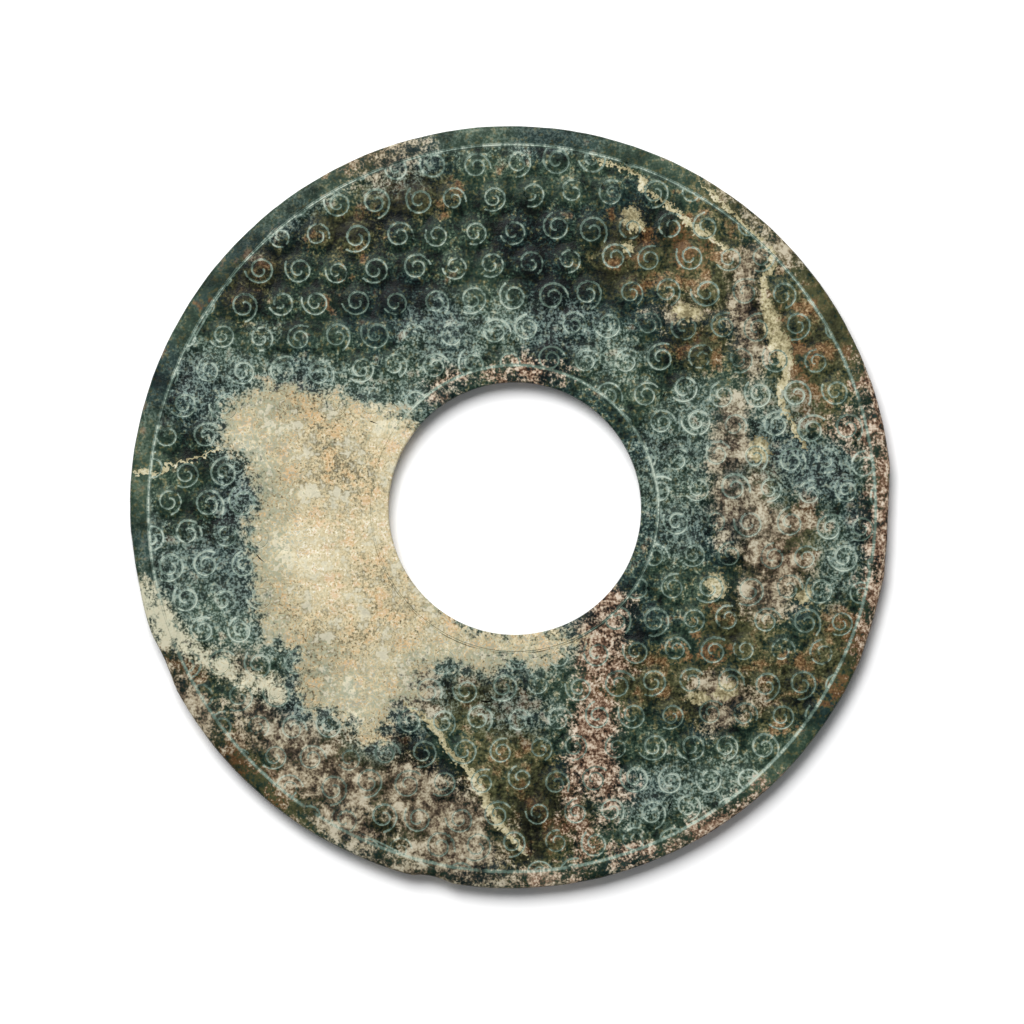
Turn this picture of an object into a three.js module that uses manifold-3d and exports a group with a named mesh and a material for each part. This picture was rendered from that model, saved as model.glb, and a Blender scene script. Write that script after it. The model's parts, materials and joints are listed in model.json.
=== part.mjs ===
// Jade bi disc: one flat ring of nephrite, carved alike on both faces.
// A plain rim runs round the edge and round the bore, each marked off by an
// incised border line. Between the lines lies a slightly sunk field of low
// grains in slanting rows, which the border lines cut off.
// Millimetres, +Z up. The disc lies on its underside at z = 0, and the origin
// is below the middle of its bounding box.

import * as THREE from 'three';
import { mergeVertices } from 'three/addons/utils/BufferGeometryUtils.js';
import Module from 'manifold-3d';

const wasm = await Module();
wasm.setup();

// ---- Driving dimensions ----

const thickness = 5;

const edge = {
  radius: 80,
  segments: 90,
  softness: 0.7, // the worn edges slope off by this much
};

// Places where the edge is worn back: middle and half width in degrees from
// +X, and depth. The bite is a parabola over that arc.
const chips = [
  { at: -14, reach: 9, depth: 0.5 },
  { at: -2, reach: 8, depth: 0.9 },
  { at: 190, reach: 7, depth: 0.3 },
  { at: 204, reach: 4.5, depth: 0.6 },
  { at: 258, reach: 3.2, depth: 0.8 },
];

const bore = { radius: 26.5, x: 0.8, y: -0.3, segments: 48 };

// The incised lines. Each is a narrow gap between the plain rim and the field.
const borderLine = { width: 0.6, depth: 0.5 };
const outerBorder = { radius: 76.2, x: 0.2, y: -0.2, segments: 60 };
const innerBorder = { radius: 30.1, x: bore.x, y: bore.y, segments: 36 };

// The grains stand on a skewed grid: steps from grain to grain along a row,
// and from a row to the next one down. Heights are measured below the rim.
const grid = {
  start: [3.05, -3.7],
  alongRow: [7.98, 0.2],
  nextRow: [3.82, -6.71],
  topBelowRim: 0.08,
  valleyBelowRim: 0.42,
  topShare: 0.62, // flat top of a grain, as a share of its cell
};

// The carver's rows wander: they spread and bend towards the edge.
const drift = { lift: -0.4, slide: 1.7, spread: 2.7, squeeze: 1.4, bow: 1.9, sag: 0.9, tip: 1.1, turn: 2.7 };

// ---- Outlines ----

function degreesApart(a, b) {
  return Math.abs(THREE.MathUtils.euclideanModulo(a - b + 180, 360) - 180);
}

function wornRadius(angle) {
  const degrees = THREE.MathUtils.radToDeg(angle);
  let radius = edge.radius;
  for (const chip of chips) {
    const away = degreesApart(degrees, chip.at) / chip.reach;
    radius -= chip.depth * Math.max(0, 1 - away * away);
  }
  return radius;
}

function loop({ x = 0, y = 0, segments, radiusAt }) {
  return Array.from({ length: segments }, (_, k) => {
    const angle = (2 * Math.PI * k) / segments;
    const radius = radiusAt(angle);
    return new THREE.Vector2(x + radius * Math.cos(angle), y + radius * Math.sin(angle));
  });
}

function circle(ring, grow = 0) {
  return loop({ ...ring, radiusAt: () => ring.radius + grow });
}

// ---- Solids ----

function solidOf(geometry) {
  const plain = geometry.clone();
  plain.deleteAttribute('normal');
  plain.deleteAttribute('uv');
  const welded = mergeVertices(plain);
  return new wasm.Manifold(new wasm.Mesh({
    numProp: 3,
    vertProperties: new Float32Array(welded.attributes.position.array),
    triVerts: new Uint32Array(welded.index.array),
  }));
}

function geometryOf(solid) {
  const mesh = solid.getMesh();
  const geometry = new THREE.BufferGeometry();
  geometry.setAttribute('position', new THREE.BufferAttribute(mesh.vertProperties, 3));
  geometry.setIndex(new THREE.BufferAttribute(mesh.triVerts, 1));
  return geometry;
}

// A ring-shaped plate between two loops, from one height to another.
function plate(outside, inside, low, high, softness = 0) {
  const shape = new THREE.Shape(outside);
  shape.holes.push(new THREE.Path(inside));
  const geometry = new THREE.ExtrudeGeometry(shape, {
    depth: high - low - 2 * softness,
    bevelEnabled: softness > 0,
    bevelThickness: softness,
    bevelSize: softness,
    bevelOffset: -softness,
    bevelSegments: 1,
  });
  geometry.translate(0, 0, low + softness);
  return solidOf(geometry);
}

// ---- The carved field ----

// Grain (i, j) of the grid. Fractions give points between grains.
function gridPoint(i, j) {
  const x = grid.start[0] + i * grid.alongRow[0] + j * grid.nextRow[0];
  const y = grid.start[1] + i * grid.alongRow[1] + j * grid.nextRow[1];
  const u = x / edge.radius;
  const v = y / edge.radius;
  return new THREE.Vector2(
    x + u * (drift.slide * v + drift.spread * v * v - drift.squeeze * u * u),
    y + drift.lift + drift.bow * v * v - drift.sag * u * u + drift.tip * u - drift.turn * u ** 3,
  );
}

// Steps to the six neighbours of a grain, anticlockwise.
const neighbours = [[1, 0], [1, -1], [0, -1], [-1, 0], [-1, 1], [0, 1]];

// The cell of a grain has its corners midway between three grains.
function cellCorners(i, j) {
  return neighbours.map(([di, dj], k) => {
    const [ei, ej] = neighbours[(k + 5) % 6];
    return gridPoint(i + (di + ei) / 3, j + (dj + ej) / 3);
  });
}

// A slab whose two faces are carved into grains, wider than the field.
function grainSlab() {
  const points = [];
  const triangle = (...corners) => corners.forEach((p) => points.push(p.x, p.y, p.z));
  const at = (p, z) => new THREE.Vector3(p.x, p.y, z);
  const reach = outerBorder.radius + 10;
  const count = Math.ceil((2 * reach) / grid.alongRow[0]);
  const inside = (i, j) => gridPoint(i, j).length() < reach;

  for (let i = -count; i <= count; i += 1) {
    for (let j = -count; j <= count; j += 1) {
      if (!inside(i, j)) continue;
      const middle = gridPoint(i, j);
      const corners = cellCorners(i, j);
      const rim = corners.map((p) => middle.clone().lerp(p, grid.topShare));
      const top = thickness - grid.topBelowRim;
      const valley = thickness - grid.valleyBelowRim;
      for (let k = 0; k < 6; k += 1) {
        const n = (k + 1) % 6;
        // upper face: sloping side and a slice of the flat top
        triangle(at(corners[k], valley), at(corners[n], valley), at(rim[n], top));
        triangle(at(corners[k], valley), at(rim[n], top), at(rim[k], top));
        if (k > 0 && k < 5) triangle(at(rim[0], top), at(rim[k], top), at(rim[n], top));
        // underside: plainer, each grain is a low six-sided point
        triangle(at(corners[n], grid.valleyBelowRim), at(corners[k], grid.valleyBelowRim),
          at(middle, grid.topBelowRim));
        const [di, dj] = neighbours[k];
        if (inside(i + di, j + dj)) continue;
        triangle(at(corners[k], grid.valleyBelowRim), at(corners[n], grid.valleyBelowRim), at(corners[n], valley));
        triangle(at(corners[k], grid.valleyBelowRim), at(corners[n], valley), at(corners[k], valley));
      }
    }
  }
  const geometry = new THREE.BufferGeometry();
  geometry.setAttribute('position', new THREE.Float32BufferAttribute(points, 3));
  return solidOf(geometry);
}

// ---- The disc ----

function makeDisc() {
  const { width, depth } = borderLine;
  const outline = loop({ segments: edge.segments, radiusAt: wornRadius });
  const blank = plate(outline, circle(bore), 0, thickness, edge.softness);

  // Above, the field stops short of the rims, and the gap is the border line.
  const slab = grainSlab();
  const sinkOutside = circle(outerBorder, width / 2);
  const sinkInside = circle(innerBorder, -width / 2);
  const upperSink = plate(sinkOutside, sinkInside, thickness - depth, thickness + 1);
  const field = plate(circle(outerBorder, -width / 2), circle(innerBorder, width / 2), thickness / 2, thickness + 1);
  const lowerSink = plate(sinkOutside, sinkInside, -1, depth);
  const disc = blank.subtract(upperSink).add(slab.intersect(field)).subtract(lowerSink.subtract(slab));

  const geometry = geometryOf(disc);
  geometry.computeBoundingBox();
  const middle = geometry.boundingBox.getCenter(new THREE.Vector3());
  geometry.translate(-middle.x, -middle.y, 0);
  return geometry;
}

const jade = new THREE.MeshStandardMaterial({ color: 0x3c5044, roughness: 0.42, metalness: 0 });

const disc = new THREE.Mesh(makeDisc(), jade);
disc.name = 'disc';

const group = new THREE.Group();
group.add(disc);

export default group;
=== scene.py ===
# Jade bi disc, lying on a pale table and seen from straight above.
# The disc is modelled as it was made: a flat ring is cut and its edges worn,
# the field between the two border lines is sunk so that rows of grains stand
# up in it, and a spiral is cut into every grain. Lengths are in millimetres
# in the dictionaries and become metres where they are used.

import json
import math
import random

import bpy
import numpy as np
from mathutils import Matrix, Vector
from mathutils.kdtree import KDTree

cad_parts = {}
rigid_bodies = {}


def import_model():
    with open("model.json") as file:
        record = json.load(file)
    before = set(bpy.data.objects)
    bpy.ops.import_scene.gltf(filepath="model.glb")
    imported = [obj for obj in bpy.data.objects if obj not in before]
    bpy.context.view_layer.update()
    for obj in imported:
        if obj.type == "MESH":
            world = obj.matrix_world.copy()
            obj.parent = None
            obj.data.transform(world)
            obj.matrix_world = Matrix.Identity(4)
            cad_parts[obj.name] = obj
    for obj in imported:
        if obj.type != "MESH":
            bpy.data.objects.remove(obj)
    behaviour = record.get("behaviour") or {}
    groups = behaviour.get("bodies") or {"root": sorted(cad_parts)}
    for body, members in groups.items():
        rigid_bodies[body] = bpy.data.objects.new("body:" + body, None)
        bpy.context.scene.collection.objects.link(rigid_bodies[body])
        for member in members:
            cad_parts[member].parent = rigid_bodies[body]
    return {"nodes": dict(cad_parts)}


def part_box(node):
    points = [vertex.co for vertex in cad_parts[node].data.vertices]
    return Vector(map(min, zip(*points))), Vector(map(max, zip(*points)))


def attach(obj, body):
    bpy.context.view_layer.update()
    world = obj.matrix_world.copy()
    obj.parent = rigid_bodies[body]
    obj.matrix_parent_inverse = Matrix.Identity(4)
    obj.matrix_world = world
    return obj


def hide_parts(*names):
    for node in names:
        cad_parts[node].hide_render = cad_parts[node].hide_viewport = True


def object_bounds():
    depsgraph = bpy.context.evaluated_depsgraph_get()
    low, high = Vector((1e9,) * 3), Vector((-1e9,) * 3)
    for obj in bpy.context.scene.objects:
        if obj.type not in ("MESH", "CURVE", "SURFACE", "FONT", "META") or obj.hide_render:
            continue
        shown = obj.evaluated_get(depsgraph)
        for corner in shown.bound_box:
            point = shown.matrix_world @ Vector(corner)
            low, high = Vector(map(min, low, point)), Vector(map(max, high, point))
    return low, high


mm = 0.001

for thing in list(bpy.data.objects):  # the start-up scene's own things
    bpy.data.objects.remove(thing)
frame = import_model()
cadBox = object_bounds()
print("frame loaded:", list(frame["nodes"]))


def deselectAll():
    bpy.ops.object.select_all(action="DESELECT")


def makeActive(thing):
    deselectAll()
    thing.select_set(True)
    bpy.context.view_layer.objects.active = thing


def freeze(thing):
    makeActive(thing)
    bpy.ops.object.transform_apply(location=True, rotation=True, scale=True)


def cutAway(target, tool):
    # the tool is used up
    makeActive(target)
    cut = target.modifiers.new("cut", "BOOLEAN")
    cut.operation = "DIFFERENCE"
    cut.object = tool
    cut.solver = "MANIFOLD"
    bpy.ops.object.modifier_apply(modifier=cut.name)
    bpy.data.objects.remove(tool)


def join(things):
    deselectAll()
    for thing in things:
        thing.select_set(True)
    bpy.context.view_layer.objects.active = things[0]
    bpy.ops.object.join()
    return things[0]


def selectEdges(thing, wanted):
    # leaves edit mode on, with just the wanted edges selected
    makeActive(thing)
    bpy.ops.object.mode_set(mode="EDIT")
    bpy.ops.mesh.select_mode(type="EDGE")
    bpy.ops.mesh.select_all(action="DESELECT")
    bpy.ops.object.mode_set(mode="OBJECT")
    points = thing.data.vertices
    for edge in thing.data.edges:
        a, b = edge.vertices
        edge.select = wanted(points[a].co / mm, points[b].co / mm)
    bpy.ops.object.mode_set(mode="EDIT")


def cutInCells(thing, cell, reach):
    # plain straight cuts through the whole piece, so that none of its flats is one huge face
    makeActive(thing)
    bpy.ops.object.mode_set(mode="EDIT")
    steps = int(reach / cell)
    for k in range(-steps, steps + 1):
        for along in ((1, 0, 0), (0, 1, 0)):
            place = Vector(along) * (k + 0.5) * cell * mm
            bpy.ops.mesh.select_all(action="SELECT")
            bpy.ops.mesh.bisect(plane_co=place, plane_no=along)
    bpy.ops.object.mode_set(mode="OBJECT")


def boxMiddle(low, high):
    return (Vector(low) + Vector(high)) / 2


disc = {
    "radius": 80.0,
    "thickness": 5.0,
    "edgePoints": 288,
    "edgeWear": 0.9,
    "edgeSteps": 4,
    "wornProfile": 0.55,
    "bore": {"radius": 26.5, "x": 0.8, "y": -0.3, "points": 144, "wear": 0.5, "steps": 3},
    # worn places on the edge: middle and reach in degrees, depth
    "chips": [(-14, 9, 0.5), (-2, 8, 0.9), (190, 7, 0.3), (204, 4.5, 0.6), (258, 3.2, 0.8)],
    # the smaller raggedness of the edge: waves round the disc, depth
    "ragged": [(23, 0.05), (61, 0.04), (137, 0.03)],
    "outerBorder": {"radius": 76.2, "x": 0.2, "y": -0.2, "wallPoints": 216, "linePoints": 240},
    "innerBorder": {"radius": 30.1, "x": 0.8, "y": -0.3, "wallPoints": 144, "linePoints": 120},
    "borderLine": 0.22,
    "lineSides": 6,
    "fieldDepth": 0.42,
    "wallSlope": 0.35,
    "overcut": 1.0,     # the field's tool runs this far out past the face
    "discCell": 12,     # the flats of the disc and of the field are cut into such squares
    "fieldCell": 6,
    "smoothAngle": 28,  # degrees
}

# The carver's grid, as steps from grain to grain along a row and from a row
# to the next one down, with the slow drift of the rows towards the edge.
grid = {
    "start": (3.05, -3.7),
    "alongRow": (7.98, 0.2),
    "nextRow": (3.82, -6.71),
    "drift": {"lift": -0.4, "slide": 1.7, "spread": 2.7, "squeeze": 1.4,
              "bow": 1.9, "sag": 0.9, "tip": 1.1, "turn": 2.7},
    "jitter": 0.35,
    "seed": 7,
}

grain = {
    # rings from the foot to the top: radius, height above the sunk ground
    "rings": [(3.6, -0.2), (3.6, 0.0), (2.9, 0.14), (1.8, 0.26)],
    "top": 0.31,
    "sides": 12,
    # the grains of the plainer underside
    "ringsUnder": 3,
    "sidesUnder": 9,
}

curl = {
    "reach": 2.62,      # radius of the outer turn
    "reachVaries": 0.1,
    "turns": 1.55,
    "start": 0.22,      # radius where it starts, as a share of the reach
    "ease": 1.8,        # above 1, the curl opens fast at first and slows down
    "tail": 0.22,       # how far the loose end runs out past the last turn
    "tailFrom": 0.84,   # where the loose end begins, as a share of the curl's length
    "tailSpan": 0.16,
    "shortest": 0.86,   # where the shortest curls stop
    "halfWidth": 0.25,
    "tip": 0.6,         # width at both ends, as a share of the full width
    "widens": 4,        # how fast the cut widens from its start
    "narrows": 5,       # and narrows to its end
    "lift": 0.11,       # the cutting edge is held this far above the surface
    "wallGap": 0.45,    # curls stop this far from the field's walls
    "points": 30,
    "pointsUnder": 14,
    "fewest": 5,        # a shorter stroke isn't cut
}


def wornRadius(angle):
    degrees = math.degrees(angle)
    radius = disc["radius"]
    for at, reach, depth in disc["chips"]:
        away = abs((degrees - at + 180) % 360 - 180) / reach
        radius -= depth * max(0, 1 - away * away)
    for waves, depth in disc["ragged"]:
        radius -= depth * (0.5 + 0.5 * math.sin(waves * angle + waves))
    return radius


def gridPoint(i, j):
    x = grid["start"][0] + i * grid["alongRow"][0] + j * grid["nextRow"][0]
    y = grid["start"][1] + i * grid["alongRow"][1] + j * grid["nextRow"][1]
    u, v = x / disc["radius"], y / disc["radius"]
    drift = grid["drift"]
    x += u * (drift["slide"] * v + drift["spread"] * v * v - drift["squeeze"] * u * u)
    y += drift["lift"]
    y += drift["bow"] * v * v
    y -= drift["sag"] * u * u
    y += drift["tip"] * u
    y -= drift["turn"] * u ** 3
    return Vector((x, y))


def fromRing(point, ring):
    # how far a point is outside a ring, in millimetres
    return math.hypot(point[0] - ring["x"], point[1] - ring["y"]) - ring["radius"]


def onField(point, spare):
    # spare is how far inside both borders the point must be
    return fromRing(point, disc["outerBorder"]) < -spare and fromRing(point, disc["innerBorder"]) > spare


def planGrains():
    # every grain that shows on the field, with its own turn, size and strength
    random.seed(grid["seed"])
    foot = grain["rings"][0][0]
    span = int(2 * disc["radius"] / grid["alongRow"][0])
    plan = []
    for j in range(-span, span + 1):
        for i in range(-span, span + 1):
            place = gridPoint(i, j)
            turn = random.uniform(0, 2 * math.pi)
            size = 1 + random.uniform(-1, 1) * curl["reachVaries"]
            tone = random.random()
            place += Vector((random.gauss(0, 1), random.gauss(0, 1))) * grid["jitter"]
            if onField(place, -foot):
                plan.append({"place": place, "turn": turn, "reach": curl["reach"] * size, "tone": tone})
    return plan


def curlRadius(t):
    # radius along a curl as a share of its reach, for t from 0 to 1
    opening = 1 - (1 - curl["start"]) * (1 - t) ** curl["ease"]
    return opening + curl["tail"] * max(0, (t - curl["tailFrom"]) / curl["tailSpan"]) ** 2


def curlEnd(tone):
    # some curls stop short of the loose tail
    return curl["shortest"] + (1 - curl["shortest"]) * min(1, 2 * tone)


def grainHeight(away):
    # height of a grain above the ground, at a distance from its middle
    rings = grain["rings"][1:] + [(0, grain["top"])]
    for (r0, h0), (r1, h1) in zip(rings, rings[1:]):
        if away >= r1:
            return h0 + (h1 - h0) * min(1, max(0, (r0 - away) / (r0 - r1)))
    return grain["top"]


def isLevel(a, b):
    near = 0.01
    return abs(a.z - b.z) < near


def onBoreEdge(a, b):
    near = 0.05
    return isLevel(a, b) and fromRing(a, disc["bore"]) < near and fromRing(b, disc["bore"]) < near


def wearEdges(blank, wanted, wear, steps):
    selectEdges(blank, wanted)
    bpy.ops.mesh.bevel(offset=wear * mm, segments=steps, profile=disc["wornProfile"], affect="EDGES")
    bpy.ops.object.mode_set(mode="OBJECT")


def makeBlank():
    thickness = disc["thickness"] * mm
    bpy.ops.mesh.primitive_cylinder_add(
        vertices=disc["edgePoints"], radius=disc["radius"] * mm, depth=thickness,
        location=(0, 0, thickness / 2))
    blank = bpy.context.object
    freeze(blank)
    for point in blank.data.vertices:
        angle = math.atan2(point.co.y, point.co.x)
        radius = wornRadius(angle) * mm
        point.co.x, point.co.y = radius * math.cos(angle), radius * math.sin(angle)
    wearEdges(blank, isLevel, disc["edgeWear"], disc["edgeSteps"])

    bore = disc["bore"]
    bpy.ops.mesh.primitive_cylinder_add(
        vertices=bore["points"], radius=bore["radius"] * mm, depth=4 * thickness,
        location=(bore["x"] * mm, bore["y"] * mm, thickness / 2))
    drill = bpy.context.object
    freeze(drill)
    cutAway(blank, drill)
    wearEdges(blank, onBoreEdge, bore["wear"], bore["steps"])
    cutInCells(blank, disc["discCell"], disc["radius"])
    return blank


def addCone(lowRadius, highRadius, low, high, ring):
    bpy.ops.mesh.primitive_cone_add(
        vertices=ring["wallPoints"], radius1=lowRadius * mm, radius2=highRadius * mm, depth=(high - low) * mm,
        location=(ring["x"] * mm, ring["y"] * mm, (low + high) / 2 * mm))
    cone = bpy.context.object
    freeze(cone)
    return cone


def makeFieldTool(upper):
    # the ring-shaped block of stone that is cut away to sink the field
    top, depth, slope, past = disc["thickness"], disc["fieldDepth"], disc["wallSlope"], disc["overcut"]
    outer, inner = disc["outerBorder"], disc["innerBorder"]
    spread = slope * (1 + past / depth)  # the walls keep their slope out past the face
    narrow, wide = outer["radius"] - slope, outer["radius"] - slope + spread
    foot, tip = inner["radius"] + slope, inner["radius"] + slope - spread
    extra = past / 2  # the core is taller than the block it is cut from
    if upper:
        low, high = top - depth, top + past
        tool = addCone(narrow, wide, low, high, outer)
        core = addCone(foot, tip, low, high + extra, inner)
    else:
        low, high = -past, depth
        tool = addCone(wide, narrow, low, high, outer)
        core = addCone(tip, foot, low - extra, high, inner)
    cutAway(tool, core)
    cutInCells(tool, disc["fieldCell"], disc["radius"])
    return tool


def makeGrain(sides, rings):
    # a low pillow: a short drum whose top is inset and raised ring by ring
    radius, foot = rings[0]
    height = rings[1][1] - foot
    bpy.ops.mesh.primitive_cylinder_add(
        vertices=sides, radius=radius * mm, depth=height * mm, location=(0, 0, (foot + height / 2) * mm))
    pillow = bpy.context.object
    freeze(pillow)
    bpy.ops.object.mode_set(mode="EDIT")
    bpy.ops.mesh.select_mode(type="FACE")
    bpy.ops.mesh.select_all(action="DESELECT")
    bpy.ops.object.mode_set(mode="OBJECT")
    for face in pillow.data.polygons:
        face.select = face.normal.z > 0.9
    bpy.ops.object.mode_set(mode="EDIT")
    for (r0, h0), (r1, h1) in zip(rings[1:], rings[2:]):
        bpy.ops.mesh.extrude_region_move(TRANSFORM_OT_translate={"value": (0, 0, (h1 - h0) * mm)})
        share = r1 / r0
        bpy.ops.transform.resize(value=(share, share, 1), center_override=(0, 0, 0))
    bpy.ops.mesh.poke(offset=(grain["top"] - rings[-1][1]) * mm)
    bpy.ops.object.mode_set(mode="OBJECT")
    return pillow


def placeGrains(plan, upper):
    rings = grain["rings"] if upper else grain["rings"][:grain["ringsUnder"]]
    pattern = makeGrain(grain["sides"] if upper else grain["sidesUnder"], rings)
    ground = disc["thickness"] - disc["fieldDepth"] if upper else disc["fieldDepth"]
    copies = []
    for spot in plan:
        copy = pattern.copy()
        copy.data = pattern.data.copy()
        bpy.context.collection.objects.link(copy)
        copy.location = (spot["place"].x * mm, spot["place"].y * mm, ground * mm)
        copy.rotation_euler = (0 if upper else math.pi, 0, spot["turn"])
        copies.append(copy)
    bpy.data.objects.remove(pattern)
    grains = join(copies)
    freeze(grains)
    return grains


def sinkField(blank, plan, upper):
    # the grains are left standing because they are cut out of the tool
    tool = makeFieldTool(upper)
    cutAway(tool, placeGrains(plan, upper))
    cutAway(blank, tool)


# Where the stone has changed, from the middle of the disc. An oval is x, y,
# half length, half width and tilt in degrees; the chalky patches have outlines.
zones = {
    "cream": [
        [(-52, 25), (-46, 26.5), (-42, 24), (-36, 23), (-30, 22), (-25, 20.5), (-20, 17), (-14, 8),
         (-14, -14), (-13, -25), (-5, -27), (3, -27), (10, -26), (15, -28), (12, -30), (8, -32), (4, -33),
         (0, -31.5), (-3, -33.5), (-9, -33.5), (-13, -32.5), (-19, -33), (-20, -40), (-24, -42), (-28, -46),
         (-27, -50.5), (-31, -49), (-33, -46), (-38, -42), (-41, -43), (-44, -40), (-45, -36), (-44, -31),
         (-46, -29), (-52, -27), (-53, -20), (-54, -12), (-55, -3), (-52, 0), (-54, 5), (-55, 11),
         (-60, 13.5), (-61, 19), (-57, 22)]],
    "pale": [
        [(-79, -15), (-74, -18), (-71, -23), (-68, -27), (-63, -30), (-58, -31), (-57, -35), (-53, -35),
         (-48, -37), (-47, -41), (-51, -41), (-54, -38), (-60, -36), (-65, -33), (-70, -30), (-74, -28),
         (-76, -25), (-79, -20)]],
    "frost": [
        (-63, -17, 13, 11, -20), (-76, -10, 3, 7, 5), (-55, -27, 9, 5, -10), (-54, -14, 5, 9, 0),
        (-58, 28, 10, 5, -15), (-66, 27, 4, 7, 10), (-59, 17, 4, 6, 0), (-38, 26.5, 12, 3, -8),
        (-20, 24, 6, 5, -30), (-23, 71, 7, 3, 20), (-45, 63, 10, 2, 32), (-75, 19, 2.5, 2, 0),
        (-57, 3, 3, 9, -5), (-13, 36, 9, 7, 0), (2, 38, 12, 4, 0), (20, 33, 7, 5, -30), (40, 15, 7, 10, 0),
        (62, 8, 12, 7, 0), (30, -60, 11, 5, 20), (44, -59, 7, 4, 35), (-35, -36, 10, 5, 0),
        (-18, -40, 6, 6, 0), (36, -3, 5, 7, 0), (68, -10, 5, 8, 0), (-8, -32, 16, 3, 0), (-51, 2, 6, 26, 0),
        (-44, -44, 8, 4, -30), (30, 8, 4, 8, 0), (0, 78, 24, 2, 0), (-36, -36, 12, 6, -30),
        (50, 4, 8, 12, 0), (54, 20, 8, 6, 0), (-72, -18, 5, 5, 0), (2, -43, 8, 4, 0)],
    "dark": [
        (-28, 52, 28, 11, 8), (-2, 58, 24, 9, -4), (-48, 44, 14, 9, 25), (-65, 12, 8, 6, 0),
        (-66, -2, 10, 6, 0), (-58, 9, 4, 6, 30), (10, 50, 14, 9, 0), (34, 28, 6, 9, 15), (30, 60, 7, 6, 0),
        (-20, -51, 7, 3.5, -45), (-11, -57, 7, 3, -48), (-7, -63, 6, 2.5, -50), (-26, -66.5, 6, 4, 0),
        (-20, -72, 7, 2.5, -20), (-36, -45, 8, 3, -25), (74, -3, 2.5, 3, 0), (46, -22, 5, 6, 0),
        (4, -68, 4, 7, 0)],
    "warm": [
        (66, 38, 8, 14, 25), (62, 24, 8, 8, 0), (0, -58, 10, 16, 15), (3, -70, 9, 6, -20),
        (26, -36, 10, 7, 0), (-8, -41, 13, 6, 0), (38, -38, 10, 7, 0), (24, 52, 8, 8, 0),
        (54, 40, 6, 8, 20), (40, 50, 12, 10, -30), (-22, 66, 10, 5, 0), (-35, 58, 7, 5, 0),
        (-54, 48, 8, 4, 45), (47, 62, 10, 4, -35), (56, -8, 10, 10, 0), (-57, -52, 9, 5, -45),
        (-46, -60, 10, 5, -38), (-68, -34, 6, 4, -55), (-30, 72.5, 6, 2.5, 25), (54, -38, 10, 8, 0),
        (-30, -55, 16, 8, -20), (-20, -68, 14, 6, -15), (50, 5, 7, 9, 0), (48, -26, 8, 7, 0),
        (10, -66, 8, 8, 0), (40, 34, 6, 5, 0), (68, -30, 7, 10, -20), (60, 52, 6, 5, -40)],
    "rusty": [
        (-36.5, 45, 1.6, 1, 60), (-60, -50, 5, 2, -48), (-66, -41, 4, 2, -55), (-30, 74, 4, 1.2, 22),
        (77, 5, 2.5, 16, 0), (75, -20, 2.5, 10, -15), (57, -10, 5, 3, 0), (60, 30, 2, 6, 20),
        (40, -30, 3, 2, 0), (45, -67, 8, 2, 33), (18, -40, 3, 14, 0), (3, 28.5, 5, 1.5, 0),
        (36, 54, 4, 3, 0), (-67, -33, 4, 2, -30), (-50, -57, 5, 2, -40), (14, -70, 2, 5, 0),
        (62, -1, 3, 3, 0)],
    "mottle": [
        (-46, -50, 11, 5, -20), (-38, -57, 13, 6, -15), (-22, -59, 9, 5, -10), (-15, -65, 12, 6, -10),
        (-12, -72, 9, 5, 0), (-35, -66, 9, 4, -25), (-57, -33.5, 4, 3, 0), (-67, -42, 8, 4, -48),
        (-52, -43, 6, 3, -20), (-22, -38, 6, 5, 0), (47, 0, 5, 7, 10), (51, -3, 4, 5, 0),
        (46, 19, 3.5, 4.5, 0), (46, 12, 4, 7, 0), (57, -4, 6, 4, 0), (55, -11, 8, 5, -20),
        (53, -18, 5, 5, 0), (45, -39, 6, 3, -15), (44, -44, 3, 3, 0), (50, 51, 3, 5, -45),
        (49, 42, 3, 6, 0), (50, 33, 3, 6, 0), (46, 67, 7, 1.8, -33), (57, 55, 4, 2, -45),
        (36, 41, 3.5, 2, 0), (-26, 73, 6, 2.4, 20), (-20, -76.5, 11, 2.2, -15), (-40, -75, 12, 2, -25),
        (4, -78, 16, 1.8, 0)],
    "granular": [
        (76, 24, 6, 2.6, 105), (78, 12, 6, 2.4, 98), (75, 14, 4, 2.4, 120), (78.5, 0, 6, 2, 90),
        (77.5, -7, 5, 2.6, 85), (77.5, -15, 6, 2.6, 78), (76.3, -22, 6, 1.8, 72), (71, 17, 3, 2.5, 0),
        (20, -21, 4, 3.5, 0), (18, -28, 4.5, 5, 0), (19, -34, 4.5, 3, 0), (17, -45, 5, 6, 0),
        (17.5, -53, 4.5, 6, 0), (20, -58.5, 4.5, 3, -20), (13, -63, 2, 3, 0), (14, -69, 1.5, 4, 0),
        (18.5, -66, 2, 1.5, 0), (3, 28.3, 5, 1.6, 0), (-14, 25.5, 3, 2, 35), (5, -78.3, 2.5, 1.5, 0),
        (14, -77, 2, 2, 0), (26, -73, 3, 2, 15), (43, -66.5, 8, 2.4, 33)],
}

farAway = 99.0  # what counts as nowhere near a zone


def ovalDepth(x, y, oval):
    # how deep places are inside an oval, in millimetres
    middleX, middleY, long, wide, tilt = oval
    c, s = math.cos(math.radians(tilt)), math.sin(math.radians(tilt))
    along = ((x - middleX) * c + (y - middleY) * s) / long
    across = ((y - middleY) * c - (x - middleX) * s) / wide
    return (1 - np.hypot(along, across)) * min(long, wide)


def outlineDepth(x, y, outline):
    inside = np.zeros(len(x), bool)
    nearest = np.full(len(x), farAway)
    for (x0, y0), (x1, y1) in zip(outline, outline[1:] + outline[:1]):
        dx, dy = x1 - x0, y1 - y0
        t = np.clip(((x - x0) * dx + (y - y0) * dy) / (dx * dx + dy * dy), 0, 1)
        nearest = np.minimum(nearest, np.hypot(x - x0 - t * dx, y - y0 - t * dy))
        if dy:
            inside ^= ((y0 > y) != (y1 > y)) & (x < x0 + (y - y0) * dx / dy)
    return np.where(inside, nearest, -nearest)


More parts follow.
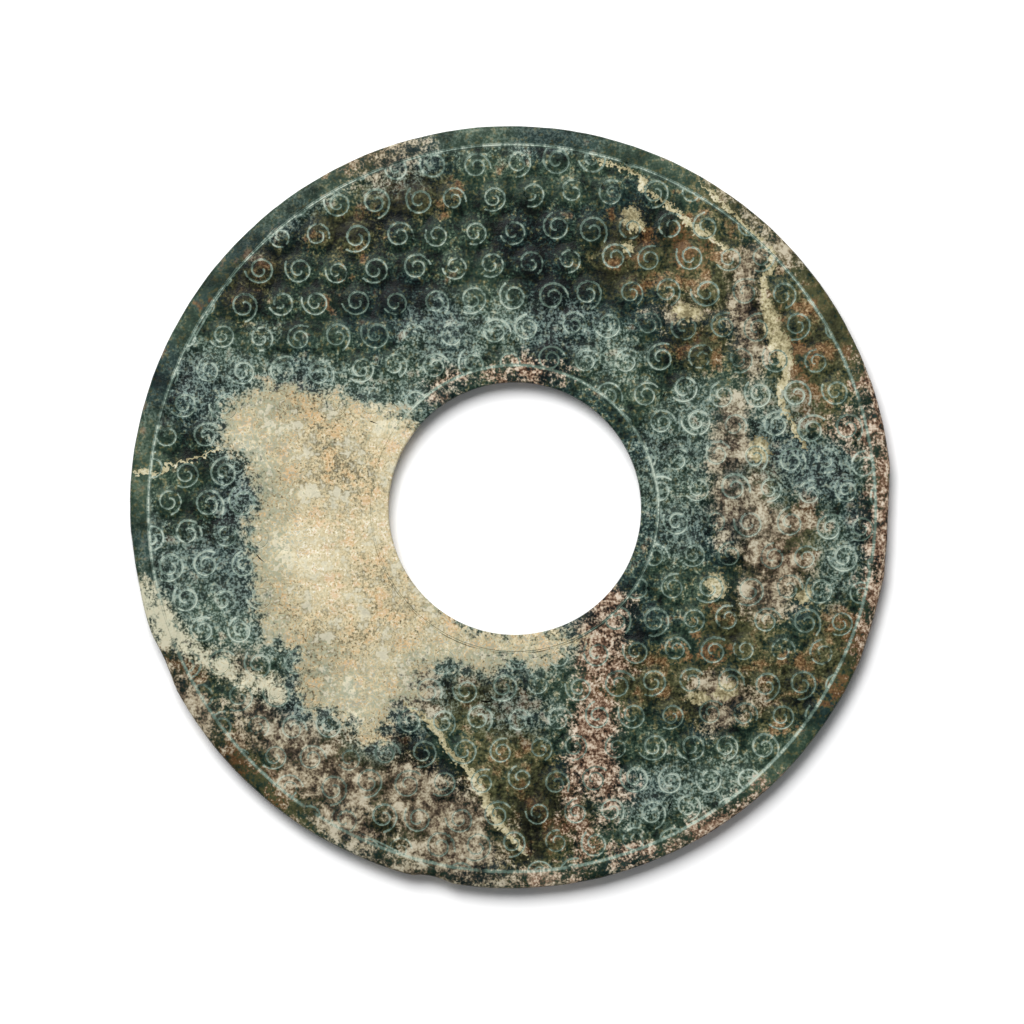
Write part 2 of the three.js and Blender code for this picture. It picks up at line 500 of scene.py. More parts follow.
def cutterFrom(strokes, halfWidth):
    # each stroke is a list of points in millimetres with a width share
    curve = bpy.data.curves.new("strokes", "CURVE")
    curve.dimensions = "3D"
    curve.resolution_u = 1
    curve.bevel_depth = halfWidth * mm
    curve.bevel_resolution = 0
    curve.use_fill_caps = True
    for stroke in strokes:
        spline = curve.splines.new("POLY")
        spline.points.add(len(stroke) - 1)
        for point, (x, y, z, share) in zip(spline.points, stroke):
            point.co = (x * mm, y * mm, z * mm, 1)
            point.radius = share
    cutter = bpy.data.objects.new("strokes", curve)
    bpy.context.collection.objects.link(cutter)
    makeActive(cutter)
    bpy.ops.object.convert(target="MESH")
    bpy.ops.object.mode_set(mode="EDIT")
    bpy.ops.mesh.select_all(action="SELECT")
    bpy.ops.mesh.remove_doubles(threshold=0.002 * mm)
    bpy.ops.mesh.normals_make_consistent(inside=False)
    bpy.ops.object.mode_set(mode="OBJECT")
    return cutter


def onChalk(spot):
    # the curls have weathered away on the chalky patch, but for its edge
    edge = 2
    x, y = np.array([spot["place"].x]), np.array([spot["place"].y])
    return max(outlineDepth(x, y, shape)[0] for shape in zones["cream"]) > edge


def curlStroke(spot, upper):
    # the part of a curl that lies on the field, running outwards clockwise
    ground = disc["thickness"] - disc["fieldDepth"]
    count = curl["points"] if upper else curl["pointsUnder"]
    end = curlEnd(spot["tone"])
    stroke = []
    for k in range(count):
        t = end * k / (count - 1)
        angle = spot["turn"] - 2 * math.pi * curl["turns"] * t
        away = spot["reach"] * curlRadius(t)
        x = spot["place"].x + away * math.cos(angle) * (1 if upper else -1)
        y = spot["place"].y + away * math.sin(angle)
        if onField((x, y), curl["wallGap"]):
            z = ground + grainHeight(away) + curl["lift"]
            share = min(1, curl["tip"] + curl["widens"] * t, curl["tip"] + curl["narrows"] * (end - t))
            stroke.append((x, y, z if upper else disc["thickness"] - z, share))
        elif len(stroke) < curl["fewest"]:
            stroke = []
        else:
            break
    return stroke


def cutCurls(blank, plan):
    clear = [spot for spot in plan if not onChalk(spot)]
    for upper in (True, False):
        strokes = [curlStroke(spot, upper) for spot in clear]
        strokes = [stroke for stroke in strokes if len(stroke) >= curl["fewest"]]
        cutAway(blank, cutterFrom(strokes, curl["halfWidth"]))
        print("curls cut", "above" if upper else "below", len(blank.data.polygons), "faces")


def cutBorderLines(blank):
    for ring in (disc["outerBorder"], disc["innerBorder"]):
        for height in (disc["thickness"], 0):
            bpy.ops.mesh.primitive_torus_add(
                major_radius=ring["radius"] * mm, minor_radius=disc["borderLine"] * mm,
                major_segments=ring["linePoints"], minor_segments=disc["lineSides"],
                location=(ring["x"] * mm, ring["y"] * mm, height * mm))
            groove = bpy.context.object
            freeze(groove)
            cutAway(blank, groove)


# The uv map "curl" is this many curl radii wide, with the grain in its middle.
curlMapWide = 8


def markGrains(blank, plan):
    # gives every face the flat coordinates of its nearest grain, turned with that grain's spiral
    tree = KDTree(len(plan))
    for k, spot in enumerate(plan):
        tree.insert((spot["place"].x, spot["place"].y, 0), k)
    tree.balance()
    mesh = blank.data
    while mesh.uv_layers:
        mesh.uv_layers.remove(mesh.uv_layers[0])
    layer = mesh.uv_layers.new(name="curl")
    tone = mesh.attributes.new("grainTone", "FLOAT", "FACE")
    for face in mesh.polygons:
        spot = plan[tree.find((face.center.x / mm, face.center.y / mm, 0))[1]]
        tone.data[face.index].value = spot["tone"]
        side = 1 if face.center.z > disc["thickness"] / 2 * mm else -1
        c, s = math.cos(spot["turn"]), math.sin(spot["turn"])
        for loop in face.loop_indices:
            corner = mesh.vertices[mesh.loops[loop].vertex_index].co
            x = (corner.x / mm - spot["place"].x) * side
            y = corner.y / mm - spot["place"].y
            along, across = (x * c + y * s) / spot["reach"], (y * c - x * s) / spot["reach"]
            layer.data[loop].uv = (along / curlMapWide + 0.5, across / curlMapWide + 0.5)


def markZones(blank):
    # one attribute a zone, with the depth of every point inside it
    mesh = blank.data
    places = np.empty(3 * len(mesh.vertices))
    mesh.vertices.foreach_get("co", places)
    x, y = places[0::3] / mm, places[1::3] / mm
    for name, shapes in zones.items():
        depth = np.full(len(x), -farAway)
        for shape in shapes:
            inside = outlineDepth if isinstance(shape[0], tuple) else ovalDepth
            depth = np.maximum(depth, inside(x, y, shape))
        mesh.attributes.new(name, "FLOAT", "POINT").data.foreach_set("value", depth)


def centre(blank):
    # the outline's box sits over the origin
    points = [point.co for point in blank.data.vertices]
    low = [min(point[k] for point in points) for k in range(3)]
    high = [max(point[k] for point in points) for k in range(3)]
    shift = boxMiddle(*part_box("disc")) - boxMiddle(low, high)
    blank.location = (shift.x, shift.y, 0)
    freeze(blank)
    return shift


def makeDisc():
    plan = planGrains()
    print("grains planned:", len(plan))
    blank = makeBlank()
    for upper in (True, False):
        sinkField(blank, plan, upper)
        print("field sunk", "above" if upper else "below", len(blank.data.polygons), "faces")
    cutBorderLines(blank)
    cutCurls(blank, plan)
    markGrains(blank, plan)
    markZones(blank)
    shift = centre(blank)
    makeActive(blank)
    bpy.ops.object.shade_smooth_by_angle(angle=math.radians(disc["smoothAngle"]))
    blank.name = "jadeDisc"
    print("disc shifted by", [round(s / mm, 3) for s in shift])
    return blank, shift


def addNode(tree, kind, links=(), **settings):
    made = tree.nodes.new("ShaderNode" + kind)
    for name, value in settings.items():
        setattr(made, name, value)
    for socket, value in dict(links).items():
        if isinstance(value, bpy.types.NodeSocket):
            tree.links.new(value, made.inputs[socket])
        else:
            made.inputs[socket].default_value = value
    return made


def maths(tree, operation, a, b=0.0, c=0.0):
    return addNode(tree, "Math", {0: a, 1: b, 2: c}, operation=operation).outputs[0]


def vectorMaths(tree, operation, a, b, c=(0, 0, 0)):
    return addNode(tree, "VectorMath", {0: a, 1: b, 2: c}, operation=operation).outputs


def combine(tree, x, y):
    return addNode(tree, "CombineXYZ", {0: x, 1: y, 2: 1.0}).outputs[0]


def add(tree, a, b):
    return maths(tree, "ADD", a, b)


def times(tree, a, b):
    return maths(tree, "MULTIPLY", a, b)


def timesAdd(tree, a, b, c):
    return maths(tree, "MULTIPLY_ADD", a, b, c)


def larger(tree, a, b):
    return maths(tree, "MAXIMUM", a, b)


def smaller(tree, a, b):
    return maths(tree, "MINIMUM", a, b)


def invert(tree, value):
    return maths(tree, "SUBTRACT", 1.0, value)


def around(tree, value, amount, base=0.0):
    # base, plus amount times what value is over a half
    return add(tree, timesAdd(tree, value, amount, -amount / 2), base)


def stepUp(tree, value, low, high):
    # 0 at low, 1 at high, smooth between
    return addNode(tree, "MapRange", {"Value": value, "From Min": low, "From Max": high},
                   interpolation_type="SMOOTHSTEP").outputs[0]


def noise(tree, place, size, detail=2.0, rough=0.6, aside=0.0):
    # size is the width of its blotches, in the units of place; aside gives another pattern
    if aside:
        place = vectorMaths(tree, "ADD", place, (aside, aside / 3, 0))[0]
    settings = {"Vector": place, "Scale": 1 / size, "Detail": detail, "Roughness": rough}
    return addNode(tree, "TexNoise", settings, noise_dimensions="2D").outputs["Fac"]


def blend(tree, share, under, over):
    mix = addNode(tree, "Mix", {"Factor": share}, data_type="RGBA", clamp_factor=True)
    for name, value in (("A", under), ("B", over)):
        socket = next(s for s in mix.inputs if s.name == name and s.type == "RGBA")
        if isinstance(value, bpy.types.NodeSocket):
            tree.links.new(value, socket)
        else:
            socket.default_value = (*value, 1)
    return next(s for s in mix.outputs if s.type == "RGBA")


def newMaterial(name):
    made = bpy.data.materials.new(name)
    made.use_nodes = True
    tree = made.node_tree
    return made, tree, tree.nodes["Principled BSDF"]


# Small blobs are ovals too: x, y, half length, half width and tilt.
blobs = [
    (25, 61, 2, 1.8, 0), (26.5, 59, 1.5, 1.2, 0), (24.5, 54.5, 1.3, 1, 0), (43, -16.5, 2, 2.6, 20),
    (61.5, -18.5, 1.8, 1.5, 30), (39.5, -40, 2, 1.3, 0), (45, -38.5, 2.4, 1.6, 10),
    (52, 12, 2, 2.6, 0), (37, 41, 3, 1.5, -10)]

# Veins are paths of points x, y and half width.
veins = [
    [(-22, -41.5, 0.3), (-19, -43.5, 0.6), (-15.5, -46.5, 0.7), (-14, -49.5, 0.6), (-12, -52.5, 0.5),
     (-8.5, -55.3, 0.6), (-7, -58, 0.9), (-5.5, -61, 0.8), (-3.5, -65, 0.7), (-1, -68, 0.6),
     (3, -72.5, 0.5)],
    [(18, 72.8, 0.3), (24, 71, 0.3), (27, 69.5, 0.4), (28, 66.5, 0.5), (32, 64, 0.4), (36, 61, 0.5),
     (38, 58.5, 0.7), (41.5, 57, 0.5), (45, 54, 0.3)],
    [(40, 67.5, 0.2), (45, 63, 0.3), (50, 58, 0.3), (54.5, 54, 0.4), (55, 51, 0.5), (53, 48.5, 0.5),
     (53.3, 44, 0.5), (54, 41, 1.0), (55, 37, 1.9), (57, 33, 1.6), (58, 29, 1.1), (57, 26, 0.7),
     (56, 23.5, 0.5), (58, 19, 0.35), (60, 15, 0.3), (62, 12, 0.2)],
    [(-78.5, 7.5, 0.5), (-74, 6.8, 0.4), (-71.5, 8.8, 0.3), (-66, 10.3, 0.3), (-60.5, 12.5, 0.2)],
]

# Scratches beside the border lines, as long thin ovals.
scratches = [
    (-53.5, 54, 5.5, 0.22, 48), (-60, 46.3, 4.5, 0.2, 58), (-64.6, 38.6, 6, 0.2, 61), (-24, -72, 8, 0.2, -26)]

# Each kind of stone runs from its darkest to its palest flecks: a place from
# 0 to 1 and the colour there, as it looks on screen from 0 to 255.
stones = {
    "cool": [(0.2, 3, 12, 9), (0.33, 24, 41, 32), (0.47, 52, 71, 57), (0.6, 90, 108, 89),
             (0.74, 148, 162, 138), (0.88, 208, 210, 184)],
    "blue": [(0.2, 3, 10, 14), (0.33, 20, 38, 41), (0.47, 46, 69, 69), (0.6, 84, 109, 103),
             (0.74, 146, 166, 154), (0.88, 206, 214, 198)],
    "warm": [(0.2, 14, 14, 7), (0.33, 44, 44, 25), (0.47, 80, 81, 51), (0.6, 122, 119, 84),
             (0.74, 180, 170, 132), (0.88, 222, 212, 180)],
    "rusty": [(0.2, 26, 14, 8), (0.34, 62, 37, 20), (0.47, 106, 69, 40), (0.6, 146, 106, 70),
              (0.74, 192, 158, 120), (0.88, 226, 206, 178)],
    "mottle": [(0.26, 32, 26, 20), (0.42, 76, 62, 50), (0.53, 128, 112, 93), (0.63, 176, 164, 138),
               (0.78, 214, 206, 182)],
    "grit": [(0.26, 38, 27, 21), (0.4, 92, 68, 52), (0.5, 138, 112, 92), (0.6, 188, 166, 142),
             (0.74, 224, 210, 190)],
    "cream": [(0.27, 90, 82, 62), (0.38, 158, 147, 116), (0.46, 204, 190, 152), (0.56, 223, 210, 173),
              (0.68, 250, 246, 226)],
    "line": [(0.34, 98, 118, 106), (0.48, 140, 161, 148), (0.62, 200, 212, 196)],
    "vein": [(0.3, 128, 118, 84), (0.46, 196, 186, 146), (0.6, 220, 212, 178), (0.8, 240, 236, 214)],
}

jade = {
    # noises: width of the blotches in millimetres, detail, roughness, how far aside
    "noises": {"broad": (16, 0), "patchy": (5, 1), "middle": (2, 2, 0.7), "fine": (0.55, 1, 0.8),
               "other": (1.1, 1, 0.8, 57)},
    "spread": -0.013,      # share by which the pattern's places spread, for each millimetre of z
    "whiteLit": 1.3,       # brightness of a white surface that faces up, under the lights below
    "veinReach": 0.62,     # half length of a vein's oval, as a share of the step that it covers
    "veinWidth": 0.6,      # its half width, as a share of the half widths at both ends together
    "wander": 3,           # how far noise moves the veins and blobs
    # edges of the zones, from nothing to full, as depths
    "softEdge": (-3, 3),
    "hardEdge": (-2, 2),
    "creamEdge": (-2, 1.4),
    "fringeEdge": (-6, 1),
    # edges of the lines, from nothing to full, as distances from their middles
    "spiralEdge": (0.3, 0.05),
    "borderEdge": (0.45, 0.12),
    "haloEdge": (1, 0.1),
    # the same for scratches and veins, where 1 is an oval's rim
    "scratchEdge": (1.6, 0.3),
    "veinEdge": (1.5, 0.7),
    # painted shade on the sunk ground between the grains, from where it starts to where it is full
    "valleyEdge": (1.05, 1.5),  # between the grains, as distances in curl radii
    "wallWide": 0.3,
    "rimEdge": (0, 0.6),
    # thin colours over the stone, as they look on screen
    "frost": (170, 192, 184),
    "orange": (212, 168, 114),
    "bleached": (252, 246, 218),
    "greyed": (134, 150, 132),
    "crust": (230, 226, 200),
    # how much each kind covers at its strongest
    "blueShare": 0.6,
    "warmShare": 0.9,
    "rustShare": 0.7,
    "mottleShare": 0.8,
    "orangeShare": 0.65,
    "bleachedShare": 0.6,
    "greyedShare": 0.6,
    "crustShare": 0.5,
    "veinShare": 0.9,
    "lineShare": 0.92,
    "scratchShare": 0.8,
    # polish of the bare stone, and what the chalky kinds add to its roughness
    "polish": 0.38,
    "dulled": 0.3,
    "specular": 0.07,
    # pits: width, strength and depth
    "pits": (0.5, 0.3, 0.15),
}


def shade(red, green, blue):
    # the paint that looks like this on screen under the lights, from 0 to 255
    return tuple(((c / 255 + 0.055) / 1.055) ** 2.4 / jade["whiteLit"] for c in (red, green, blue))


def ramp(tree, value, stops):
    made = addNode(tree, "ValToRGB", {0: value})
    elements = made.color_ramp.elements
    elements.remove(elements[1])
    for number, (place, *colour) in enumerate(stops):
        stop = elements.new(place) if number else elements[0]
        stop.position = place
        stop.color = (*shade(*colour), 1)
    return made.outputs[0]


def nearOvals(tree, flat, ovals):
    # squared distance from the nearest of some ovals, 1 on its rim;
    # flat is (x, y, 1), so each axis of an oval is one dot product
    nearest = None
    for x, y, long, wide, tilt in ovals:
        c, s = math.cos(math.radians(tilt)), math.sin(math.radians(tilt))
        alongAxis = (c / long, s / long, -(x * c + y * s) / long)
        acrossAxis = (-s / wide, c / wide, (x * s - y * c) / wide)
        along = vectorMaths(tree, "DOT_PRODUCT", flat, alongAxis)["Value"]
        across = vectorMaths(tree, "DOT_PRODUCT", flat, acrossAxis)["Value"]
        squared = timesAdd(tree, across, across, times(tree, along, along))
        nearest = squared if nearest is None else smaller(tree, nearest, squared)
    return nearest


def nearPath(tree, flat, path):
    # a vein: long ovals laid end to end through points (x, y, half width)
    ovals = []
    for (x0, y0, w0), (x1, y1, w1) in zip(path, path[1:]):
        length = math.hypot(x1 - x0, y1 - y0)
        tilt = math.degrees(math.atan2(y1 - y0, x1 - x0))
        ovals.append(((x0 + x1) / 2, (y0 + y1) / 2, jade["veinReach"] * length,
                      jade["veinWidth"] * (w0 + w1), tilt))
    return nearOvals(tree, flat, ovals)


def curlGap(tree, own, tone):
    # distance from the middle of the nearest cut line of a grain's curl
    outOfReach = 9
    split = addNode(tree, "SeparateXYZ", {0: own})
    away = vectorMaths(tree, "LENGTH", own, (0, 0, 0))["Value"]
    turn = maths(tree, "ARCTAN2", split.outputs[1], split.outputs[0])
    turn = maths(tree, "FRACT", times(tree, turn, -0.5 / math.pi))
    end = timesAdd(tree, smaller(tree, times(tree, tone, 2), 1), 1 - curl["shortest"], curl["shortest"])
    gap = None
    for lap in (0.0, 1.0):
        t = times(tree, add(tree, turn, lap), 1 / curl["turns"])
        left = maths(tree, "POWER", larger(tree, invert(tree, t), 0), curl["ease"])
        opening = timesAdd(tree, left, curl["start"] - 1, 1)
        loose = timesAdd(tree, t, 1 / curl["tailSpan"], -curl["tailFrom"] / curl["tailSpan"])
        loose = maths(tree, "POWER", larger(tree, loose, 0), 2)
        radius = timesAdd(tree, loose, curl["tail"], opening)
        off = maths(tree, "ABSOLUTE", maths(tree, "SUBTRACT", away, radius))
        pastEnd = times(tree, maths(tree, "GREATER_THAN", t, end), outOfReach)
        off = add(tree, off, pastEnd)
        gap = off if gap is None else smaller(tree, gap, off)
    return times(tree, gap, curl["reach"]), away


def ringGap(tree, flat, ring):
    far = vectorMaths(tree, "DISTANCE", flat, (ring["x"], ring["y"], 1))["Value"]
    return maths(tree, "SUBTRACT", far, ring["radius"])


def stonePlaces(tree, shift):
    # x and y in millimetres, the place that the cut lines read, and the place that the
    # patterns read, which spreads with depth so that the edges show them too;
    # z is 0 on the face and counts down from there
    coordinates = addNode(tree, "TexCoord").outputs["Object"]
    origin = (-shift.x / mm, -shift.y / mm, -disc["thickness"])
    place = addNode(tree, "Mapping", {"Vector": coordinates, "Scale": (1 / mm,) * 3, "Location": origin})
    x, y, z = addNode(tree, "SeparateXYZ", {0: place.outputs[0]}).outputs
    plan = combine(tree, x, y)
    spread = timesAdd(tree, z, jade["spread"], 1)
    flat = combine(tree, times(tree, x, spread), times(tree, y, spread))
    return x, y, plan, flat


def stoneNoises(tree, flat):
    noises = {name: noise(tree, flat, *settings) for name, settings in jade["noises"].items()}
    rough = add(tree, around(tree, noises["patchy"], 6), around(tree, noises["middle"], 7))
    noises["rough"] = add(tree, rough, around(tree, noises["fine"], 6))
    return noises


def veinMarks(tree, noises, x, y):
    # veins and blobs wander a little
    veinX = add(tree, around(tree, noises["middle"], jade["wander"]), x)
    veinY = add(tree, around(tree, noises["other"], jade["wander"]), y)
    pushed = combine(tree, veinX, veinY)
    marks = nearOvals(tree, pushed, blobs)
    for path in veins:
        marks = smaller(tree, marks, nearPath(tree, pushed, path))
    return marks


def zoneShares(tree, noises):
    # how much of each zone shows at a place, from 0 to 1, and the depth inside the cream
    depth = {name: addNode(tree, "Attribute", attribute_name=name).outputs["Fac"] for name in zones}
    shares = {"creamDepth": depth["cream"]}
    for name in ("frost", "dark", "warm", "rusty"):
        shares[name] = stepUp(tree, add(tree, depth[name], noises["rough"]), *jade["softEdge"])
    for name in ("mottle", "granular", "pale"):
        shares[name] = stepUp(tree, add(tree, depth[name], noises["rough"]), *jade["hardEdge"])
    ragged = add(tree, around(tree, noises["fine"], 5), around(tree, noises["middle"], 9))
    ragged = add(tree, ragged, around(tree, noises["patchy"], 4))
    shares["cream"] = stepUp(tree, add(tree, depth["cream"], ragged), *jade["creamEdge"])
    shares["fringe"] = stepUp(tree, depth["cream"], *jade["fringeEdge"])
    return shares


def cutLines(tree, noises, plan):
    # the pale lines of curls and borders, where a place lies on its grain and on the disc, and the painted
    # shade between the grains
    own = addNode(tree, "UVMap", uv_map="curl").outputs[0]
    back = -curlMapWide / 2
    own = vectorMaths(tree, "MULTIPLY_ADD", own, (curlMapWide, curlMapWide, 0), (back, back, 0))[0]
    tone = addNode(tree, "Attribute", attribute_name="grainTone").outputs["Fac"]
    gap, away = curlGap(tree, own, tone)
    outside = ringGap(tree, plan, disc["outerBorder"])
    inside = ringGap(tree, plan, disc["innerBorder"])
    wall = jade["wallWide"]
    field = times(tree, stepUp(tree, outside, 0, -wall), stepUp(tree, inside, 0, wall))
    wobble = around(tree, noises["fine"], 0.5)
    spiral = times(tree, stepUp(tree, add(tree, gap, wobble), *jade["spiralEdge"]), field)
    spiral = times(tree, spiral, stepUp(tree, around(tree, tone, 0.3, noises["middle"]), 0.15, 0.42))
    border = smaller(tree, maths(tree, "ABSOLUTE", outside), maths(tree, "ABSOLUTE", inside))
    border = stepUp(tree, add(tree, border, wobble), *jade["borderEdge"])
    border = times(tree, border, stepUp(tree, noises["patchy"], 0.2, 0.4))
    scratched = stepUp(tree, nearOvals(tree, plan, scratches), *jade["scratchEdge"])
    border = larger(tree, border, times(tree, scratched, jade["scratchShare"]))
    return {
        "outside": outside,
        "line": larger(tree, spiral, border),
        "halo": times(tree, field, stepUp(tree, gap, *jade["haloEdge"])),
        # where painted shade darkens the ground between the grains
        "valley": times(tree, stepUp(tree, away, *jade["valleyEdge"]), field),
        "rim": stepUp(tree, outside, *jade["rimEdge"]),
    }


def stoneFlecks(tree, noises, shares, cuts):
    # how pale each fleck is, on bare stone and on the carved disc
    clump = timesAdd(tree, stepUp(tree, add(tree, noises["middle"], noises["patchy"]), 0.85, 1.2), 0.45, 0.25)
    broader = add(tree, around(tree, noises["patchy"], 0.35), around(tree, noises["broad"], 0.25, 0.47))
    bare = times(tree, around(tree, noises["fine"], 1), clump)
    bare = add(tree, bare, around(tree, noises["middle"], 0.55))
    bare = add(tree, add(tree, bare, around(tree, noises["other"], 0.3)), broader)
    # the rims are smoother, and the stone is darker in dark zones and on the rims; it is also darker between
    # the grains, which is painted shade
    smoothed = times(tree, maths(tree, "SUBTRACT", broader, bare), 0.6)
    fleck = add(tree, bare, times(tree, cuts["rim"], smoothed))
    fleck = timesAdd(tree, shares["dark"], -0.12, fleck)
    # painted shade: the ground between the grains is darkened
    fleck = timesAdd(tree, cuts["valley"], -0.04, fleck)
    fleck = timesAdd(tree, cuts["rim"], -0.02, fleck)
    return bare, fleck


def greenStone(tree, noises, shares, cuts, fleck):
    # the disc's own stone: dark green with bluish, olive and rust-brown parts
    stone = ramp(tree, fleck, stones["cool"])
    blue = around(tree, noises["broad"], -1.2, around(tree, noises["patchy"], 0.6, 0.5))
    blue = times(tree, stepUp(tree, blue, 0.5, 0.75), jade["blueShare"])
    stone = blend(tree, blue, stone, ramp(tree, fleck, stones["blue"]))

    edge = stepUp(tree, cuts["outside"], 4, 5.6)
    warmth = timesAdd(tree, edge, 0.2, around(tree, shares["warm"], 0.34, noises["other"]))
    warmth = times(tree, stepUp(tree, warmth, 0.34, 0.6), jade["warmShare"])
    stone = blend(tree, warmth, stone, ramp(tree, fleck, stones["warm"]))

    rust = around(tree, noises["patchy"], 0.8)
    lessInDark = timesAdd(tree, shares["dark"], -0.05, 0.4)
    rust = add(tree, rust, around(tree, noises["middle"], 0.6, lessInDark))
    rust = timesAdd(tree, shares["rusty"], 0.32, rust)
    rust = timesAdd(tree, shares["warm"], 0.16, rust)
    rust = times(tree, stepUp(tree, rust, 0.52, 0.8), jade["rustShare"])
    rusted = timesAdd(tree, fleck, 0.65, 0.16)
    return blend(tree, rust, stone, ramp(tree, rusted, stones["rusty"]))


def addFrost(tree, stone, noises, shares, cuts):
    # a thin pale haze, thicker beside the curls and round the cream, and thinner on the rims
    dust = around(tree, noises["fine"], 1.1)
    coarser = add(tree, around(tree, noises["middle"], 0.9), around(tree, noises["other"], 0.5, 0.5))
    dust = stepUp(tree, add(tree, dust, coarser), 0.36, 0.72)
    haze = add(tree, timesAdd(tree, cuts["halo"], 0.14, 0.23), times(tree, shares["fringe"], 0.15))
    haze = times(tree, haze, larger(tree, shares["frost"], shares["fringe"]))
    haze = times(tree, haze, timesAdd(tree, dust, 1.5, 0.15))
    haze = times(tree, haze, timesAdd(tree, cuts["rim"], -0.7, 1))
    return blend(tree, haze, stone, shade(*jade["frost"]))


def addCrusts(tree, stone, noises, shares, cuts):
    # the mottled and the granular areas
    blotch = add(tree, around(tree, noises["middle"], 0.8), around(tree, noises["patchy"], 0.6))
    blotch = add(tree, blotch, around(tree, noises["fine"], 0.4, 0.52))
    blotch = timesAdd(tree, cuts["rim"], 0.06, blotch)
    mottled = times(tree, shares["mottle"], jade["mottleShare"])
    stone = blend(tree, mottled, stone, ramp(tree, blotch, stones["mottle"]))
    grit = add(tree, around(tree, noises["middle"], 0.8), around(tree, noises["other"], 0.5))
    grit = add(tree, grit, around(tree, noises["fine"], 0.5, 0.5))
    return blend(tree, shares["granular"], stone, ramp(tree, grit, stones["grit"]))


def addChalk(tree, stone, noises, shares, bare):
    # the cream patch and the streak, with orange, bleached and grey places
    chalk = ramp(tree, bare, stones["cream"])
    orange = add(tree, around(tree, noises["patchy"], 0.9), around(tree, noises["middle"], 0.7))
    orange = add(tree, orange, around(tree, noises["other"], 0.6, 0.5))
    stained = times(tree, stepUp(tree, orange, 0.48, 0.82), jade["orangeShare"])
    chalk = blend(tree, stained, chalk, shade(*jade["orange"]))
    bleached = times(tree, stepUp(tree, orange, 0.46, 0.26), jade["bleachedShare"])
    chalk = blend(tree, bleached, chalk, shade(*jade["bleached"]))
    greyed = timesAdd(tree, shares["creamDepth"], -0.016, around(tree, noises["fine"], 0.8, noises["other"]))
    greyed = timesAdd(tree, shares["frost"], 0.2, greyed)
    greyed = times(tree, stepUp(tree, greyed, 0.5, 0.72), jade["greyedShare"])
    chalk = blend(tree, greyed, chalk, shade(*jade["greyed"]))
    chalk = blend(tree, times(tree, shares["pale"], jade["crustShare"]), chalk, shade(*jade["crust"]))
    return blend(tree, larger(tree, shares["cream"], shares["pale"]), stone, chalk)


def addVeins(tree, stone, noises, bare, marks):
    veined = stepUp(tree, add(tree, marks, around(tree, noises["fine"], 2.5)), *jade["veinEdge"])
    return blend(tree, times(tree, veined, jade["veinShare"]), stone, ramp(tree, bare, stones["vein"]))


def addLines(tree, stone, shares, cuts, bare):
    # pale mineral in the cut lines, nearly lost on the chalk and fainter on the mottled stone
    glow = timesAdd(tree, shares["frost"], 0.15, bare)
    faint = larger(tree, shares["cream"], shares["pale"])
    faint = larger(tree, faint, times(tree, shares["mottle"], 0.3))
    faint = invert(tree, times(tree, faint, 0.85))
    line = times(tree, times(tree, cuts["line"], faint), jade["lineShare"])
    return blend(tree, line, stone, ramp(tree, glow, stones["line"]))


def makeJade(shift):
    material, tree, shader = newMaterial("oldJade")
    x, y, plan, flat = stonePlaces(tree, shift)
    noises = stoneNoises(tree, flat)
    marks = veinMarks(tree, noises, x, y)
    shares = zoneShares(tree, noises)
    cuts = cutLines(tree, noises, plan)
    bare, fleck = stoneFlecks(tree, noises, shares, cuts)

    stone = greenStone(tree, noises, shares, cuts, fleck)
    stone = addFrost(tree, stone, noises, shares, cuts)
    stone = addCrusts(tree, stone, noises, shares, cuts)
    stone = addChalk(tree, stone, noises, shares, bare)
    stone = addVeins(tree, stone, noises, bare, marks)
    stone = addLines(tree, stone, shares, cuts, bare)
    tree.links.new(stone, shader.inputs["Base Color"])

    chalky = larger(tree, shares["cream"], shares["pale"])
    chalky = larger(tree, chalky, larger(tree, shares["granular"], shares["mottle"]))
    tree.links.new(timesAdd(tree, chalky, jade["dulled"], jade["polish"]), shader.inputs["Roughness"])
    width, strength, deep = jade["pits"]
    pits = noise(tree, flat, width, 1, 0.9)
    bump = addNode(tree, "Bump", {"Height": pits, "Strength": strength, "Distance": deep * mm})
    tree.links.new(bump.outputs[0], shader.inputs["Normal"])
    shader.inputs["Specular IOR Level"].default_value = jade["specular"]
    return material


studio = {
    "table": 3.0,
    "tableGrey": 0.95,
    "paperBlotch": 20,   # millimetres
    "keyPower": 17.2,
    "keySize": 0.65,
    "keyAway": 1.1,
    "keyFrom": 112,      # degrees round from +X
    "keyUp": 58,         # degrees above the table
    "sky": 0.23,
    "cameraAway": 1.4,
    "filmWide": 36,
    "frameWide": 214.6,  # millimetres across the view, at the top of the disc
    "aim": (0.2, -1.0),
}


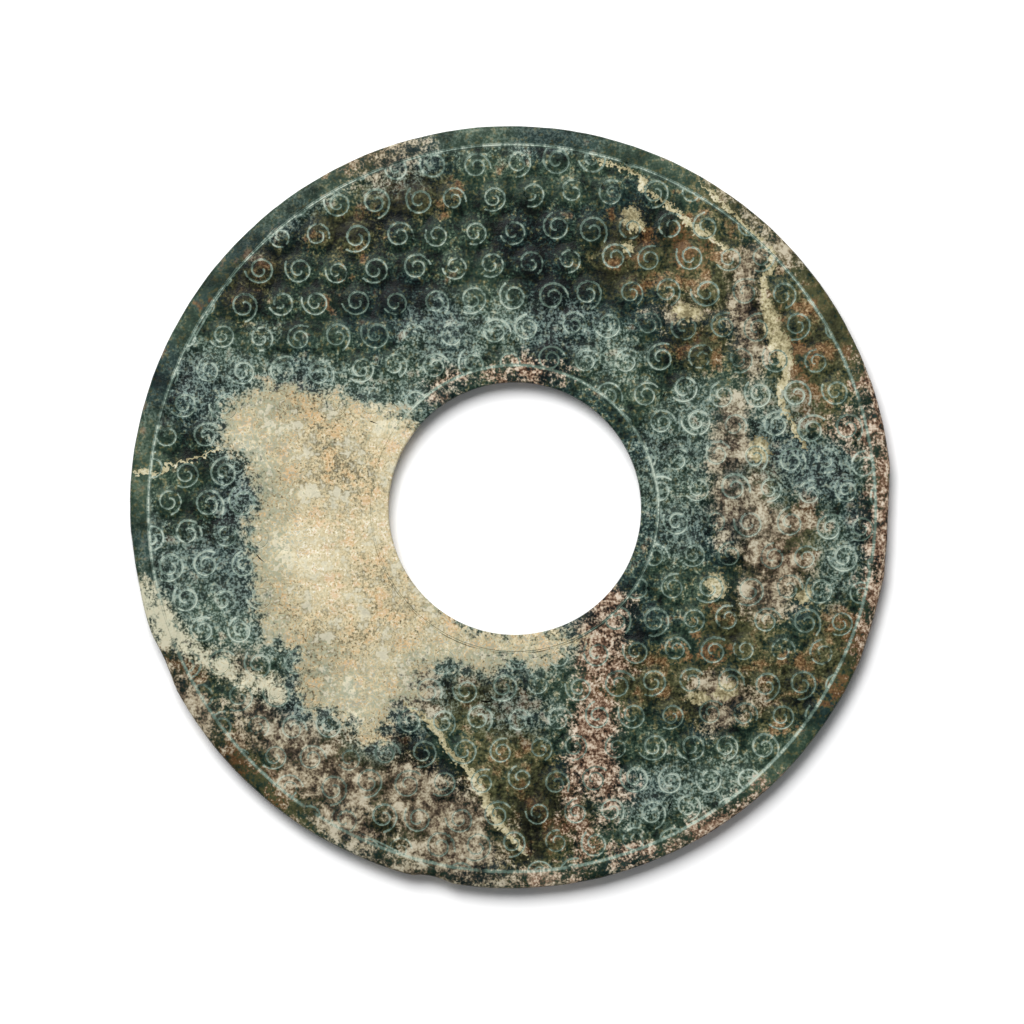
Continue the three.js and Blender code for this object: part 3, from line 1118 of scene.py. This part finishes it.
def makeTable():
    bpy.ops.mesh.primitive_plane_add(size=studio["table"], location=(0, 0, 0))
    table = bpy.context.object
    table.name = "table"
    material, tree, shader = newMaterial("paper")
    tint = noise(tree, addNode(tree, "TexCoord").outputs["Object"], studio["paperBlotch"] * mm)
    grey = studio["tableGrey"]
    paper = blend(tree, tint, (grey,) * 3, (grey * 0.99,) * 3)
    tree.links.new(paper, shader.inputs["Base Color"])
    shader.inputs["Roughness"].default_value = 0.9
    shader.inputs["Specular IOR Level"].default_value = 0.1
    table.data.materials.append(material)


def makeLights():
    turn, up = math.radians(studio["keyFrom"]), math.radians(studio["keyUp"])
    direction = Vector((math.cos(turn) * math.cos(up), math.sin(turn) * math.cos(up), math.sin(up)))
    bpy.ops.object.light_add(type="AREA", location=direction * studio["keyAway"])
    key = bpy.context.object
    key.name = "softKey"
    key.data.size = studio["keySize"]
    key.data.energy = studio["keyPower"]
    key.rotation_euler = direction.to_track_quat("Z", "Y").to_euler()
    world = bpy.data.worlds.new("paleRoom")
    world.use_nodes = True
    background = world.node_tree.nodes["Background"]
    background.inputs["Color"].default_value = (0.96, 0.98, 1, 1)
    background.inputs["Strength"].default_value = studio["sky"]
    bpy.context.scene.world = world


def makeCamera(shift):
    top = cadBox[1][2]
    x, y = studio["aim"]
    bpy.ops.object.camera_add(
        location=(x * mm + shift.x, y * mm + shift.y, studio["cameraAway"]), rotation=(0, 0, 0))
    camera = bpy.context.object
    camera.name = "straightDown"
    camera.data.sensor_width = studio["filmWide"]
    camera.data.lens = studio["filmWide"] * (studio["cameraAway"] - top) / (studio["frameWide"] * mm)
    camera.data.clip_end = 10
    bpy.context.scene.camera = camera


bpy.context.scene.view_settings.view_transform = "Standard"

jadeDisc, discShift = makeDisc()
jadeDisc.data.calc_loop_triangles()
print("disc made,", len(jadeDisc.data.loop_triangles), "triangles")
jadeDisc.data.materials.clear()
jadeDisc.data.materials.append(makeJade(discShift))
print("jade nodes:", len(jadeDisc.data.materials[0].node_tree.nodes))
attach(jadeDisc, "root")
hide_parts("disc")

makeTable()
makeLights()
makeCamera(discShift)
print("table, light and camera set")
